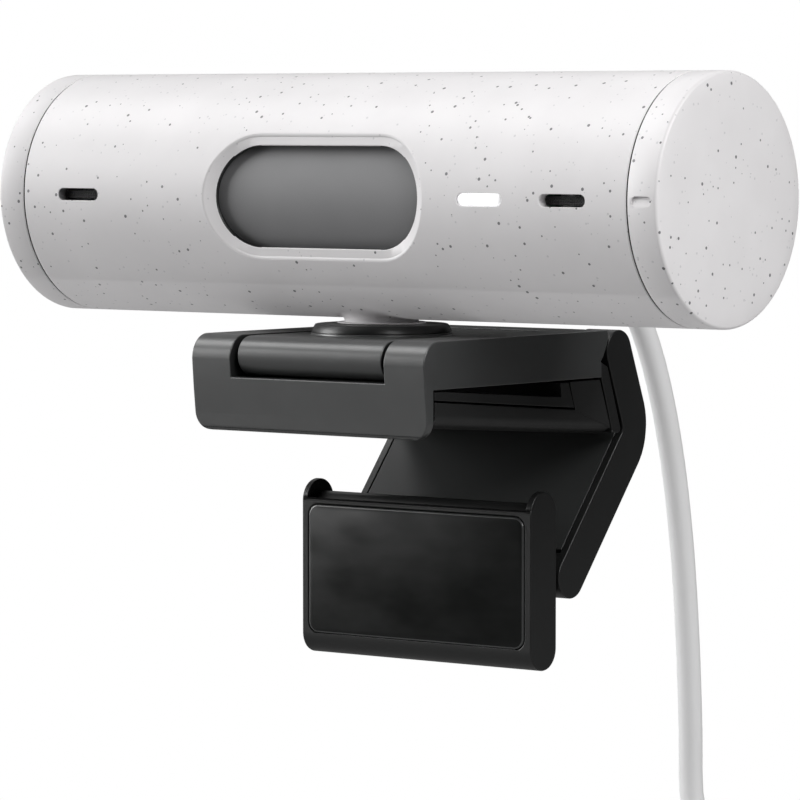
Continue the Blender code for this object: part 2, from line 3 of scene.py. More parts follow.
import bmesh
import bpy
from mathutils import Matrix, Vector

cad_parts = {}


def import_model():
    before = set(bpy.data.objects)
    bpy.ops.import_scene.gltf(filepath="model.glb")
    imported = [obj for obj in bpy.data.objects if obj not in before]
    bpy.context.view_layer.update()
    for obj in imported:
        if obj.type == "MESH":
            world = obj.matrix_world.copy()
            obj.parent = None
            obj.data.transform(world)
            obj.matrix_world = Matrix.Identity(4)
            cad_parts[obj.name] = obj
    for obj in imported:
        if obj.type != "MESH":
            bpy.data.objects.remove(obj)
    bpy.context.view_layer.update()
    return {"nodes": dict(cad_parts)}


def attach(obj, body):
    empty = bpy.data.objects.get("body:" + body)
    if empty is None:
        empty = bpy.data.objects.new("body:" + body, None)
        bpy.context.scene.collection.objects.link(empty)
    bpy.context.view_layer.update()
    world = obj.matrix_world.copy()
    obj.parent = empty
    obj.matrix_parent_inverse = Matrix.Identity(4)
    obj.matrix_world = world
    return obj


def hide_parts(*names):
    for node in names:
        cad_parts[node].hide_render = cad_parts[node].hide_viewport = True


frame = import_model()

MM = 0.001
SCENE = bpy.context.scene

# ---- driving dimensions, as in the CAD model ----
ORIGIN = Vector((0.0, -1.0, -30.05))
TUBE_R, TUBE_WALL, TUBE_HALF = 16.1, 1.5, 54.2
AROUND = 192                         # segments round the tube
SEAM_L, SEAM_R = -49.25, 49.45
SEAM_GAP = 0.26
BEZEL_W, BEZEL_H = 35.7, 15.9
MOUTH_DW, MOUTH_DH = 1.45, 1.35      # the opening inside the bezel is this much smaller
MIC_X, LED_X = 39.65, 26.95
SLOT_W, SLOT_H = 7.0, 1.6
NOTCH_X, NOTCH_W, NOTCH_H = 51.5, 3.0, 1.3
PAN_Y, DISC_TOP_Z = -1.0, -17.0
NECK_BORE = 4.1
TILT_Y, TILT_Z, BARREL_R = -13.9, -20.7, 2.55
PLATE_HALF, PLATE_REAR = 12.1, 18.0
CLIP_HALF, CLIP_TOP, CLIP_FLOOR = 19.1, -18.0, -24.2
LIP_FRONT, LIP_REAR, LIP_BOTTOM = -17.0, -14.9, -30.55
LIP_CORNER = 2.4
LEG_Y, LEG_Z, KNUCKLE_R = 26.1, -20.8, 2.8
CENTRE_KNUCKLE, LEG_GAP_HALF = 13.3, 13.9
PANEL_HALF, PANEL_SEAT_HALF = 17.9, 17.95
LINK_HALF, LINK_GAP_HALF = 13.9, 14.3
FRONT_BORE, LEG_BORE, FOOT_BORE = 1.2, 1.25, 0.95
WEDGE_Z, WEDGE_SLOPE = -30.05, -0.07
END_Y, END_Z, END_R = 15.2, -50.2, 2.9
FOOT_Y, FOOT_Z = 9.3, -41.9
FOOT_FRONT, FOOT_BACK = 6.1, 11.8
FOOT_TOP, FOOT_BOTTOM = -38.55, -62.1
EAR_INSIDE = 18.1
PAD_W, PAD_H, PAD_Z = 36.0, 17.5, -50.5
CORD_R, CORD_EXIT_Z = 1.75, -1.0
COIL_C = (0.0, 66.75, -124.0)
COIL_R, COIL_PITCH = 23.35, 3.52
TIE_ANGLE = 50
PLUG_X, PLUG_Y = 29.3, 61.5
ROUTE = [(0, 17.2, -1.0), (0, 24, -1.0), (0, 32, -1.5), (0, 40, -3.5), (0, 47, -7.2),
         (0, 53.5, -12.4), (0, 59.3, -19.6), (0, 63.4, -27.7), (0, 66.8, -38.2),
         (0, 69.3, -50.5), (0, 70.9, -64.0), (0, 71.8, -77.5), (0, 72.0, -86.2),
         (0.9, 72.0, -90.8), (3.5, 72.0, -94.7), (6.2, 72.0, -97.4)]
FLOOR_Z = COIL_C[2] - 36.6


def row(p):
    """A point in millimetres from the tube's middle, as a point in the row frame."""
    return (Vector(p) - ORIGIN) * MM


# ---------------------------------------------------------------- materials
MIX_A, MIX_B, MIX_OUT = 6, 7, 2      # which sockets of a Mix node hold its colours


class Graph:
    """Short calls for building one material's nodes."""

    def __init__(self, name, colour, rough, metal=0.0):
        self.mat = bpy.data.materials.new(name)
        self.mat.use_nodes = True
        self.tree = self.mat.node_tree
        self.shader = self.tree.nodes["Principled BSDF"]
        self.mat.diffuse_color = (*colour, 1)
        self.set("Base Color", (*colour, 1))
        self.set("Roughness", rough)
        self.set("Metallic", metal)
        self.place = self.node("ShaderNodeTexCoord").outputs["Object"]

    def set(self, socket, value):
        self.shader.inputs[socket].default_value = value

    def node(self, kind, **props):
        n = self.tree.nodes.new(kind)
        for key, value in props.items():
            setattr(n, key, value)
        return n

    def link(self, out, socket):
        self.tree.links.new(out, socket)

    def noise(self, cell, detail=2.0, stretch=(1, 1, 1)):
        """Noise with features about cell millimetres across."""
        place = self.place
        if stretch != (1, 1, 1):
            m = self.node("ShaderNodeMapping")
            m.inputs["Scale"].default_value = stretch
            self.link(place, m.inputs["Vector"])
            place = m.outputs["Vector"]
        n = self.node("ShaderNodeTexNoise")
        n.inputs["Scale"].default_value = 1 / (cell * MM)
        n.inputs["Detail"].default_value = detail
        self.link(place, n.inputs["Vector"])
        return n.outputs["Fac"]

    def ramp(self, value, lo, hi, a, b):
        """value from lo..hi stretched to a..b, clamped."""
        r = self.node("ShaderNodeMapRange")
        for socket, number in zip(("From Min", "From Max", "To Min", "To Max"), (lo, hi, a, b)):
            r.inputs[socket].default_value = number
        self.link(value, r.inputs["Value"])
        return r.outputs["Result"]

    def maths(self, operation, a, b):
        m = self.node("ShaderNodeMath", operation=operation)
        for socket, v in zip(m.inputs, (a, b)):
            if isinstance(v, (int, float)):
                socket.default_value = v
            else:
                self.link(v, socket)
        return m.outputs["Value"]

    def mix(self, amount, a, b):
        """Colour a where amount is 0 and b where it is 1."""
        m = self.node("ShaderNodeMix", data_type="RGBA")
        self.link(amount, m.inputs["Factor"])
        for socket, v in ((m.inputs[MIX_A], a), (m.inputs[MIX_B], b)):
            if isinstance(v, tuple):
                socket.default_value = (*v, 1)
            else:
                self.link(v, socket)
        return m.outputs[MIX_OUT]

    def bump(self, height, strength, depth, before=None):
        """Raise the surface by height (0..1) times depth millimetres."""
        b = self.node("ShaderNodeBump")
        b.inputs["Strength"].default_value = strength
        b.inputs["Distance"].default_value = depth * MM
        self.link(height, b.inputs["Height"])
        if before is not None:
            self.link(before, b.inputs["Normal"])
        return b.outputs["Normal"]

    def specks(self, cell, radius, share):
        """Round flecks up to radius millimetres, in that share of the cells: 1 inside.
        The cells are skewed, so that a flat face cuts them at every height."""
        skew = self.node("ShaderNodeMapping")
        skew.inputs["Rotation"].default_value = (0.6, 0.9, 0.35)
        self.link(self.place, skew.inputs["Vector"])
        v = self.node("ShaderNodeTexVoronoi")
        v.inputs["Scale"].default_value = 1 / (cell * MM)
        self.link(skew.outputs["Vector"], v.inputs["Vector"])
        split = self.node("ShaderNodeSeparateColor")
        self.link(v.outputs["Color"], split.inputs["Color"])
        size = self.ramp(split.outputs["Green"], 0, 1, 0.45 * radius / cell, radius / cell)
        size = self.maths("MULTIPLY", size, self.maths("LESS_THAN", split.outputs["Red"], share))
        rim = self.maths("SUBTRACT", size, v.outputs["Distance"])
        return self.ramp(rim, 0, 0.04 * radius / cell + 0.01, 0, 1)

    def colour(self, out):
        self.link(out, self.shader.inputs["Base Color"])

    def rough(self, out):
        self.link(out, self.shader.inputs["Roughness"])

    def normal(self, out):
        self.link(out, self.shader.inputs["Normal"])


def speckled_shell():
    """Off-white moulded shell with fine dark flecks."""
    g = Graph("shell_look", (0.81, 0.794, 0.802), 0.42)
    base = g.mix(g.ramp(g.noise(9, 3), 0.35, 0.65, 0, 1), (0.795, 0.779, 0.787),
                 (0.825, 0.809, 0.817))
    faint = g.maths("MULTIPLY", g.specks(0.9, 0.19, 0.46), 0.38)
    base = g.mix(faint, base, (0.42, 0.42, 0.44))
    dark = g.maths("MULTIPLY", g.specks(1.2, 0.24, 0.36), 0.85)
    g.colour(g.mix(dark, base, (0.075, 0.075, 0.085)))
    g.rough(g.ramp(g.noise(0.5, 3), 0.3, 0.7, 0.38, 0.47))
    fine = g.bump(g.noise(0.28, 2), 0.10, 0.02)
    g.normal(g.bump(g.noise(7, 2), 0.06, 0.10, fine))
    return g.mat


def moulded(name, dark, light, rough, grain=0.3, depth=0.02, strength=0.3, patch=6.0,
            spread=0.06, metal=0.0):
    """Moulded plastic, rubber or metal: slow colour change, fine grain, uneven gloss."""
    g = Graph(name, light, rough, metal)
    g.colour(g.mix(g.ramp(g.noise(patch, 2), 0.1, 0.9, 0, 1), dark, light))
    g.rough(g.ramp(g.noise(patch * 0.4, 2), 0.1, 0.9, rough - spread, rough + spread))
    fine = g.bump(g.noise(grain, 3), strength, depth)
    g.normal(g.bump(g.noise(patch, 1), 0.1, 0.15, fine))
    return g.mat


def graphite():
    """Fine-grained dark grey plastic with tiny, slightly lighter flecks."""
    g = Graph("graphite_look", (0.056, 0.058, 0.058), 0.3)
    g.set("Specular IOR Level", 0.9)
    base = g.mix(g.ramp(g.noise(5, 4), 0.3, 0.7, 0, 1), (0.052, 0.0538, 0.0538),
                 (0.058, 0.060, 0.060))
    g.colour(g.mix(g.specks(0.8, 0.1, 0.12), base, (0.075, 0.077, 0.077)))
    g.rough(g.ramp(g.noise(1.5, 3), 0.1, 0.9, 0.285, 0.355))
    fine = g.bump(g.noise(0.16, 2), 0.22, 0.02)
    g.normal(g.bump(g.noise(9, 1), 0.08, 0.12, fine))
    return g.mat


def glossy_panel(name, rough, smudge):
    """Smooth dark panel with cloudy wiping marks."""
    g = Graph(name, (0.012, 0.012, 0.0125), rough)
    clouds = g.noise(7, 3, (0.45, 1, 1))
    g.link(g.ramp(clouds, 0.35, 0.65, 0.10, 0.30), g.shader.inputs["Specular IOR Level"])
    marks = g.noise(9, 2, (0.5, 1, 1))
    g.colour(g.mix(g.ramp(marks, 0.1, 0.9, 0, 1), (0.006, 0.0066, 0.0063),
                   (0.009, 0.0098, 0.0094)))
    g.rough(g.ramp(marks, 0.15, 0.85, rough - smudge, rough + smudge))
    fine = g.bump(g.noise(0.2, 2), 0.08, 0.01)
    g.normal(g.bump(g.noise(12, 1), 0.1, 0.06, fine))
    return g.mat


def weave():
    """Black acoustic mesh: crossing threads."""
    g = Graph("mesh_look", (0.012, 0.012, 0.013), 0.5)
    threads = []
    for turn in (45, -45):
        m = g.node("ShaderNodeMapping")
        m.inputs["Rotation"].default_value = (0, radians(turn), 0)
        g.link(g.place, m.inputs["Vector"])
        w = g.node("ShaderNodeTexWave", bands_direction="X")
        w.inputs["Scale"].default_value = 1.1 / MM
        g.link(m.outputs["Vector"], w.inputs["Vector"])
        threads.append(w.outputs["Fac"])
    both = g.maths("MAXIMUM", *threads)
    g.colour(g.mix(both, (0.001, 0.001, 0.001), (0.012, 0.012, 0.013)))
    g.normal(g.bump(both, 0.6, 0.08))
    return g.mat


def glowing():
    """Lit light guide, bright in its middle and dimmer towards its ends."""
    g = Graph("light_guide_look", (0.80, 0.80, 0.81), 0.3)
    g.set("Emission Strength", 1.0)
    tint = g.mix(g.ramp(g.noise(1.5, 2), 0.3, 0.7, 0, 1), (0.97, 0.98, 1.0), (1.0, 1.0, 1.0))
    split = g.node("ShaderNodeSeparateXYZ")
    g.link(g.place, split.inputs[0])
    along = g.maths("SUBTRACT", split.outputs["X"], (LED_X - ORIGIN.x) * MM)
    off = g.maths("ABSOLUTE", along, 0)
    tint = g.mix(g.ramp(off, 2.3 * MM, 3.5 * MM, 0, 1), tint, (0.12, 0.12, 0.12))
    g.link(tint, g.shader.inputs["Emission Color"])
    g.rough(g.ramp(g.noise(0.5, 2), 0.3, 0.7, 0.25, 0.35))
    return g.mat


def lens_glass():
    """Coated dark glass."""
    g = Graph("lens_glass_look", (0.012, 0.014, 0.02), 0.05)
    g.set("Coat Weight", 0.6)
    g.colour(g.mix(g.ramp(g.noise(5, 2), 0.3, 0.7, 0, 1), (0.010, 0.012, 0.018),
                   (0.018, 0.016, 0.028)))
    g.rough(g.ramp(g.noise(3, 3), 0.3, 0.7, 0.03, 0.08))
    return g.mat


def circuit_board():
    """Green solder mask over faint tracks."""
    g = Graph("board_look", (0.02, 0.14, 0.08), 0.4)
    v = g.node("ShaderNodeTexVoronoi", distance="MANHATTAN", feature="F1")
    v.inputs["Scale"].default_value = 0.5 / MM
    g.link(g.place, v.inputs["Vector"])
    tracks = g.ramp(v.outputs["Distance"], 0.42, 0.5, 0, 1)
    g.colour(g.mix(tracks, (0.015, 0.11, 0.06), (0.04, 0.22, 0.12)))
    g.rough(g.ramp(g.noise(1, 2), 0.3, 0.7, 0.32, 0.45))
    g.normal(g.bump(tracks, 0.3, 0.03))
    return g.mat


SOOT, COAL = (0.0125, 0.0128, 0.0128), (0.0155, 0.016, 0.016)
LOOK = {
    "shell": speckled_shell(),
    "shutter": moulded("shutter_look", (0.20, 0.20, 0.205), (0.22, 0.22, 0.225), 0.48, grain=0.2),
    "graphite": graphite(),
    "panel": moulded("panel_look", (0.038, 0.0397, 0.0395), (0.042, 0.0438, 0.0435), 0.30,
                     grain=0.2, depth=0.01, strength=0.15, patch=40.0, spread=0.015),
    "grip_pad": glossy_panel("grip_pad_look", 0.325, 0.035),
    "black": moulded("black_look", SOOT, COAL, 0.36, grain=0.2, depth=0.015, strength=0.2,
                     patch=14.0, spread=0.03),
    "rubber": moulded("rubber_look", SOOT, COAL, 0.42, grain=0.25, strength=0.2, patch=14.0),
    "steel": moulded("steel_look", (0.50, 0.50, 0.51), (0.62, 0.62, 0.63), 0.27, grain=0.15,
                     depth=0.004, strength=0.2, patch=3.0, spread=0.08, metal=1.0),
    "brass": moulded("brass_look", (0.62, 0.47, 0.20), (0.76, 0.60, 0.30), 0.3, grain=0.15,
                     depth=0.004, strength=0.2, patch=3.0, spread=0.08, metal=1.0),
    "board": circuit_board(),
    "socket": moulded("socket_look", (0.74, 0.73, 0.68), (0.82, 0.81, 0.77), 0.45),
    "lens_glass": lens_glass(),
    "mesh": weave(),
    "light_guide": glowing(),
    "cord": moulded("cord_look", (0.86, 0.86, 0.86), (0.90, 0.90, 0.905), 0.44, grain=0.5,
                    strength=0.12, patch=12.0),
    "tie": moulded("tie_look", (0.014, 0.014, 0.015), (0.03, 0.03, 0.032), 0.8, grain=0.35,
                   depth=0.15, strength=0.9, patch=1.2),
    "plug": moulded("plug_look", (0.74, 0.74, 0.74), (0.79, 0.79, 0.795), 0.4),
}


# ---------------------------------------------------------------- mesh helpers
def loft(loops):
    """One solid through equal loops of points."""
    bm = bmesh.new()
    rings = [[bm.verts.new(p) for p in loop] for loop in loops]
    n = len(rings[0])
    for a, b in zip(rings, rings[1:]):
        for i in range(n):
            bm.faces.new((a[i], a[(i + 1) % n], b[(i + 1) % n], b[i]))
    bm.faces.new(list(reversed(rings[0])))
    bm.faces.new(rings[-1])
    bmesh.ops.recalc_face_normals(bm, faces=bm.faces)
    return bm


def slab(profile, x0, x1):
    """A side profile of (y, z) points, run from x0 to x1."""
    return loft([[(x0, y, z) for y, z in profile], [(x1, y, z) for y, z in profile]])


def block(x0, x1, y0, y1, z0, z1):
    return slab([(y0, z0), (y1, z0), (y1, z1), (y0, z1)], x0, x1)


def arc(cu, cv, r, a0, a1, n):
    """Points on a circle; angles in degrees from the first axis towards the second."""
    step = (a1 - a0) / n
    return [(cu + r * cos(radians(a0 + step * i)), cv + r * sin(radians(a0 + step * i)))
            for i in range(n + 1)]


def turned(profile, axis, centre, n=96):
    """A closed (along, radius) outline turned about an axis through centre."""
    bm = bmesh.new()
    cols = []
    for i in range(n):
        a = 2 * pi * i / n
        col = []
        for t, r in profile:
            u, v = r * cos(a), r * sin(a)
            p = {"X": (t, u, v), "Y": (v, t, u), "Z": (u, v, t)}[axis]
            col.append(bm.verts.new(Vector(p) + Vector(centre)))
        cols.append(col)
    m = len(profile)
    for i in range(n):
        a, b = cols[i], cols[(i + 1) % n]
        for j in range(m):
            k = (j + 1) % m
            if profile[j][1] == 0 and profile[k][1] == 0:
                continue
            bm.faces.new((a[j], a[k], b[k], b[j]))
    bmesh.ops.remove_doubles(bm, verts=bm.verts, dist=1e-4)
    bmesh.ops.dissolve_degenerate(bm, edges=bm.edges, dist=1e-5)
    bmesh.ops.recalc_face_normals(bm, faces=bm.faces)
    return bm


def rod(x0, x1, y, z, r, n=48):
    return turned([(x0, 0), (x1, 0), (x1, r), (x0, r)], "X", (0, y, z), n)


def stadium(w, h, n=14):
    """(x, z) points of a slot w wide and h high with round ends."""
    r = h / 2
    out = arc(w / 2 - r, 0, r, -90, 90, n)
    return out + arc(-(w / 2 - r), 0, r, 90, 270, n)


def rounded(w, h, r, n=6):
    """(x, z) points of a rectangle with round corners."""
    out = []
    for sx, sz, start in ((1, -1, -90), (1, 1, 0), (-1, 1, 90), (-1, -1, 180)):
        out += arc(sx * (w / 2 - r), sz * (h / 2 - r), r, start, start + 90, n)
    return out


def plate_y(shape, x, z, y0, y1):
    """An (x, z) outline run from y0 to y1."""
    return loft([[(x + a, y, z + b) for a, b in shape] for y in (y0, y1)])


def on_tube(shape, x, r):
    """An (x, z) outline laid on the front of a cylinder of radius r round the X axis."""
    return [(x + a, -sqrt(r * r - b * b), b) for a, b in shape]


def add_to(bm, other):
    """other's faces put with bm's, without joining them; other is used up."""
    me = bpy.data.meshes.new("tmp")
    other.to_mesh(me)
    other.free()
    bm.from_mesh(me)


def combine(bm, other, operation):
    """Exact boolean of two bmesh solids; both are used up and the result is returned."""
    obs = []
    for b in (bm, other):
        me = bpy.data.meshes.new("tmp")
        b.to_mesh(me)
        b.free()
        ob = bpy.data.objects.new("tmp", me)
        SCENE.collection.objects.link(ob)
        obs.append(ob)
    mod = obs[0].modifiers.new("op", "BOOLEAN")
    mod.solver, mod.operation, mod.object = "EXACT", operation, obs[1]
    dg = bpy.context.evaluated_depsgraph_get()
    out = bmesh.new()
    out.from_mesh(obs[0].evaluated_get(dg).to_mesh())
    for ob in obs:
        bpy.data.objects.remove(ob, do_unlink=True)
    bmesh.ops.remove_doubles(out, verts=out.verts, dist=1e-3)
    return out


def cut(bm, *tools):
    for t in tools:
        bm = combine(bm, t, "DIFFERENCE")
    return bm


def join(bm, *tools):
    for t in tools:
        bm = combine(bm, t, "UNION")
    return bm


def put(name, bm, slot, body, nodes=(), edge=0.0, segments=2, limit=28, smooth=32,
        tube_radii=(), zone_or_painted_light=None, zone_looks=("black",)):
    """A finished piece from a bmesh in millimetres, riding on a body for the CAD nodes.
    A picking function chooses, by a face's middle, which of the given extra looks the face takes, 0
    for its own; it paints shade or a highlight into chosen faces, and gives some faces another look
    of their own."""
    bmesh.ops.recalc_face_normals(bm, faces=bm.faces)
    bm.normal_update()
    bm.verts.index_update()
    bm.faces.index_update()
    radial = {}
    for f in bm.faces:
        for v in f.verts:
            r = hypot(v.co.y, v.co.z)
            if any(abs(r - t) < 0.012 for t in tube_radii):
                out = Vector((0, v.co.y / r, v.co.z / r))
                if abs(f.normal.dot(out)) > 0.996:
                    radial[f.index, v.index] = out if f.normal.dot(out) > 0 else -out
    # Chosen faces take an extra look: mostly painted shade or a painted highlight.
    for f in bm.faces:
        f.material_index = int(zone_or_painted_light(f.calc_center_median())) if zone_or_painted_light else 0
    for v in bm.verts:
        v.co = row(v.co)
    me = bpy.data.meshes.new(name)
    bm.to_mesh(me)
    bm.free()
    me.polygons.foreach_set("use_smooth", [True] * len(me.polygons))
    if edge == 0.0:
        me.set_sharp_from_angle(angle=radians(smooth))
    if tube_radii:
        normals = [(0, 0, 0)] * len(me.loops)
        for p in me.polygons:
            for li in p.loop_indices:
                key = (p.index, me.loops[li].vertex_index)
                if key in radial:
                    normals[li] = radial[key]
        me.normals_split_custom_set(normals)
    ob = bpy.data.objects.new(name, me)
    SCENE.collection.objects.link(ob)
    me.materials.append(LOOK[slot])
    if zone_or_painted_light:
        for look in zone_looks:
            me.materials.append(LOOK[look])
    if edge:
        bev = ob.modifiers.new("edges", "BEVEL")
        bev.width = edge * MM
        bev.segments = segments
        bev.limit_method = "ANGLE"
        bev.angle_limit = radians(limit)
        bev.use_clamp_overlap = False
        bev.harden_normals = True
    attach(ob, body)
    if nodes:
        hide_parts(*nodes)
    return ob


# ---------------------------------------------------------------- camera
CAM_AT, CAM_YAW, CAM_PITCH, CAM_LENS = (370.3, -479.2, 10.2), 37.526, 3.498, 207.75


def camera():
    yaw, pitch = radians(CAM_YAW), radians(CAM_PITCH)
    back = Vector((sin(yaw) * cos(pitch), -cos(yaw) * cos(pitch), sin(pitch)))
    data = bpy.data.cameras.new("camera")
    data.lens, data.sensor_width = CAM_LENS, 36.0
    data.clip_start, data.clip_end = 0.01, 60.0
    cam = bpy.data.objects.new("camera", data)
    cam.location = row(CAM_AT)
    cam.rotation_mode = "QUATERNION"
    cam.rotation_quaternion = (-back).to_track_quat("-Z", "Y")
    SCENE.collection.objects.link(cam)
    SCENE.camera = cam


# ---------------------------------------------------------------- cord
def smooth_route(points, step):
    """Points every step along a smooth curve through the route."""
    p = [Vector(q) for q in points]
    p = [p[0] * 2 - p[1]] + p + [p[-1] * 2 - p[-2]]
    dense = []
    for a, b, c, d in zip(p, p[1:], p[2:], p[3:]):
        for i in range(12):
            t = i / 12
            dense.append(0.5 * ((2 * b) + (c - a) * t + (2 * a - 5 * b + 4 * c - d) * t * t
                                + (3 * b - a - 3 * c + d) * t ** 3))
    dense.append(p[-2])
    total = sum((b - a).length for a, b in zip(dense, dense[1:]))
    count = max(2, round(total / step))
    out, want, run = [dense[0]], total / count, 0.0
    for a, b in zip(dense, dense[1:]):
        seg = (b - a).length
        while run + seg >= want * len(out) - 1e-9 and len(out) < count:
            out.append(a.lerp(b, (want * len(out) - run) / seg))
        run += seg
    return out + [dense[-1]]


LEAD_FROM, LEAD_TO = 76.9, 49.9      # where the lead-in settles on the outer turn
LEAVE_AT = 45.0                      # where the last turn leaves for the plug
TURNS = 11
CROSSING = 50.0                      # degrees taken to step from one column to the next
COLUMNS = 4


def coil_points(step=6.0):
    """The wound length: four flat columns, in, out, in and out, then down to the plug."""
    cx, cy, cz = COIL_C
    y = ROUTE[-1][1]
    lead_r = hypot(ROUTE[-1][0] - cx, ROUTE[-1][2] - cz)
    whole = LEAD_TO - LEAVE_AT + 360.0 * TURNS
    sweep = (whole - (COLUMNS - 1) * CROSSING) / COLUMNS
    inner = COIL_R - COIL_PITCH * sweep / 360
    pts = []

    def at(angle, r, along):
        a = radians(angle)
        pts.append(Vector((cx + r * cos(a), along, cz + r * sin(a))))

    n = 5
    for i in range(1, n):
        t = i / n
        at(LEAD_FROM + (LEAD_TO - LEAD_FROM) * t, COIL_R + (lead_r - COIL_R) * (1 - t) ** 2, y)
    angle = LEAD_TO
    for column in range(COLUMNS):
        r0, r1 = (COIL_R, inner) if column % 2 == 0 else (inner, COIL_R)
        n = round(sweep / step)
        for i in range(n + 1):
            at(angle - sweep * i / n, r0 + (r1 - r0) * i / n, y)
        angle -= sweep
        if column < COLUMNS - 1:
            n = round(CROSSING / step)
            for i in range(1, n):
                t = i / n
                ease = t * t * (3 - 2 * t)
                at(angle - CROSSING * t, r1, y - 2 * CORD_R * ease)
            angle -= CROSSING
            y -= 2 * CORD_R
    a = radians(LEAVE_AT)
    start = Vector((cx + COIL_R * cos(a), y, cz + COIL_R * sin(a)))
    end = Vector((PLUG_X, PLUG_Y, cz - 4.0))
    pull = 9.0
    ctrl = [start, start + Vector((sin(a), 0, -cos(a))) * pull, end + Vector((0, 0, pull)), end]
    n = 7
    for i in range(1, n + 1):
        t = i / n
        pts.append(ctrl[0] * (1 - t) ** 3 + ctrl[1] * 3 * t * (1 - t) ** 2
                   + ctrl[2] * 3 * t * t * (1 - t) + ctrl[3] * t ** 3)
    return pts


def cord():
    pts = smooth_route(ROUTE, 3.0) + coil_points()
    cu = bpy.data.curves.new("cord", "CURVE")
    cu.dimensions = "3D"
    cu.bevel_depth = CORD_R * MM
    cu.bevel_resolution = 6
    cu.use_fill_caps = True
    sp = cu.splines.new("POLY")
    sp.points.add(len(pts) - 1)
    for q, p in zip(sp.points, pts):
        q.co = (*row(p), 1)
    sp.use_smooth = True
    ob = bpy.data.objects.new("cord", cu)
    SCENE.collection.objects.link(ob)
    cu.materials.append(LOOK["cord"])
    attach(ob, "camera")
    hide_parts("cord_tube", "cord_coil")
    made = sum((b - a).length for a, b in zip(pts, pts[1:]))
    print("cord length", round(made, 1), "mm,", len(pts), "points")
    return ob


def strain_relief():
    """Ribbed sleeve where the cord leaves the tube."""
    top = [(12.2, 4.2), (13.2, 4.2), (13.2, 2.9), (16.4, 2.9)]
    ribs = 5
    for k in range(ribs):
        y = 17.2 + 1.9 * k
        r = 2.86 - 0.1 * k
        top += [(y, r), (y + 0.15, r + 0.03), (y + 1.05, r), (y + 1.2, r - 0.06),
                (y + 1.25, r - 0.45), (y + 1.65, r - 0.47), (y + 1.75, r - 0.12)]
    top += [(26.8, 2.36), (27.0, 2.2)]
    outline = [(12.2, 1.85)] + top + [(27.0, 1.85)]
    return put("cord_sleeve", turned(outline, "Y", (0, 0, CORD_EXIT_Z), 64), "plug", "camera",
               ["cord_boot"], smooth=40)


def tie():
    """Hook-and-loop strap wrapped round the bundle, one end lapped over the other."""
    cx, cy, cz = COIL_C
    middle = COIL_R - 1.5 * COIL_PITCH
    half_deep, half_wide = 7.05, 7.1
    a = radians(TIE_ANGLE)
    out = Vector((cos(a), 0, sin(a)))
    run = Vector((-sin(a), 0, cos(a)))
    side = Vector((0, 1, 0))
    centre = Vector((cx, cy, cz)) + out * middle

    def band(inner, outer, half_run, first, last):
        loops = []
        steps = 40
        for i in range(steps + 1):
            t = radians(first + (last - first) * i / steps)
            loop = []
            for extra, s in ((inner, -1), (inner, 1), (outer, 1), (outer, -1)):
                u = (half_deep + extra) * abs(cos(t)) ** 0.5 * (1 if cos(t) > 0 else -1)
                v = (half_wide + extra) * abs(sin(t)) ** 0.5 * (1 if sin(t) > 0 else -1)
                loop.append(centre + out * u + side * v + run * (s * half_run))
            loops.append(loop)
        return loft(loops)

    wrap = band(0.1, 0.75, 3.4, -150, 215)
    add_to(wrap, band(0.8, 1.35, 3.2, 150, 232))
    return put("cable_tie", wrap, "tie", "camera", ["cord_tie"], smooth=50)


def plug():
    """Plug grip with its ribs and neck, the contact shell and the tongue inside it."""
    cz = COIL_C[2]
    px, py = PLUG_X, PLUG_Y
    grip_w, grip_d, grip_corner = 6.4, 11.8, 1.9
    loops = []
    for dz, inset in ((-29.0, 0.55), (-28.85, 0.2), (-28.5, 0.0), (-10.4, 0.0), (-9.4, 0.12),
                      (-8.8, 0.5), (-8.6, 1.0)):
        shape = rounded(grip_w - 2 * inset, grip_d - 2 * inset, grip_corner - inset, 8)
        loops.append([(px + u, py + v, cz + dz) for u, v in shape])
    neck = [(-8.9, 0.0), (-8.9, 2.4)]
    for k in range(4):
        z = -8.2 + 1.5 * k
        r = 2.36 - 0.08 * k
        neck += [(z, r), (z + 0.9, r - 0.03), (z + 0.95, r - 0.3), (z + 1.35, r - 0.3)]
    neck += [(-2.05, 2.05), (-2.05, 0.0)]
    neck = turned(neck, "Z", (px, py, cz), 48)
    ribs = [plate_y(rounded(3.6, 0.5, 0.24, 3), px, cz - 15.0 - 1.3 * k, py + s * 5.72,
                    py + s * 6.5) for k in range(5) for s in (-1, 1)]
    body = cut(join(loft(loops), neck), *ribs)
    over = put("plug_body", body, "plug", "camera", ["plug_overmould"], smooth=32)
    rim = [(-29.3, 0.0), (-35.7, 0.0), (-35.9, 0.12), (-35.9, 0.3), (-30.9, 0.3)]
    loops = [[(px + u, py + v, cz + dz) for u, v in
              rounded(2.56 - 2 * i, 8.34 - 2 * i, 1.2 - i, 10)] for dz, i in rim]
    tongue = loft([[(px + u, py + v, z) for u, v in rounded(0.7, 6.7, 0.12, 3)]
                   for z in (cz - 30.6, cz - 35.2)])
    shell = put("plug_contact_shell", loft(loops), "steel", "camera", ["plug_shell"])
    return over, shell, put("plug_tongue", tongue, "black", "camera", edge=0.06)


camera()
the_cord = cord()
on_the_cord = [strain_relief(), tie(), *plug()]


# ---------------------------------------------------------------- camera tube
def window_cutter():
    """Sloped bezel laid round the tube, with a soft outer edge, down to the opening."""
    steps = [(0.22, 0.22, 18.5), (0.22, 0.22, 16.07), (0.12, 0.12, 16.04), (0.0, 0.0, 15.99),
             (-0.10, -0.10, 15.91), (-0.20, -0.20, 15.81), (-1.32, -1.22, 15.03),
             (-1.40, -1.31, 14.97), (-MOUTH_DW, -MOUTH_DH, 14.9), (-MOUTH_DW, -MOUTH_DH, 10.0)]
    loops = []
    for dw, dh, r in steps:
        shape = stadium(BEZEL_W + 2 * dw, BEZEL_H + 2 * dh, 28)
        rise = 0.4 if 14.5 < r < 15.5 else 0.0
        loops.append([(x, -sqrt((r + rise * (z / 6.6) ** 2) ** 2 - z * z), z) for x, z in shape])
    return loft(loops)


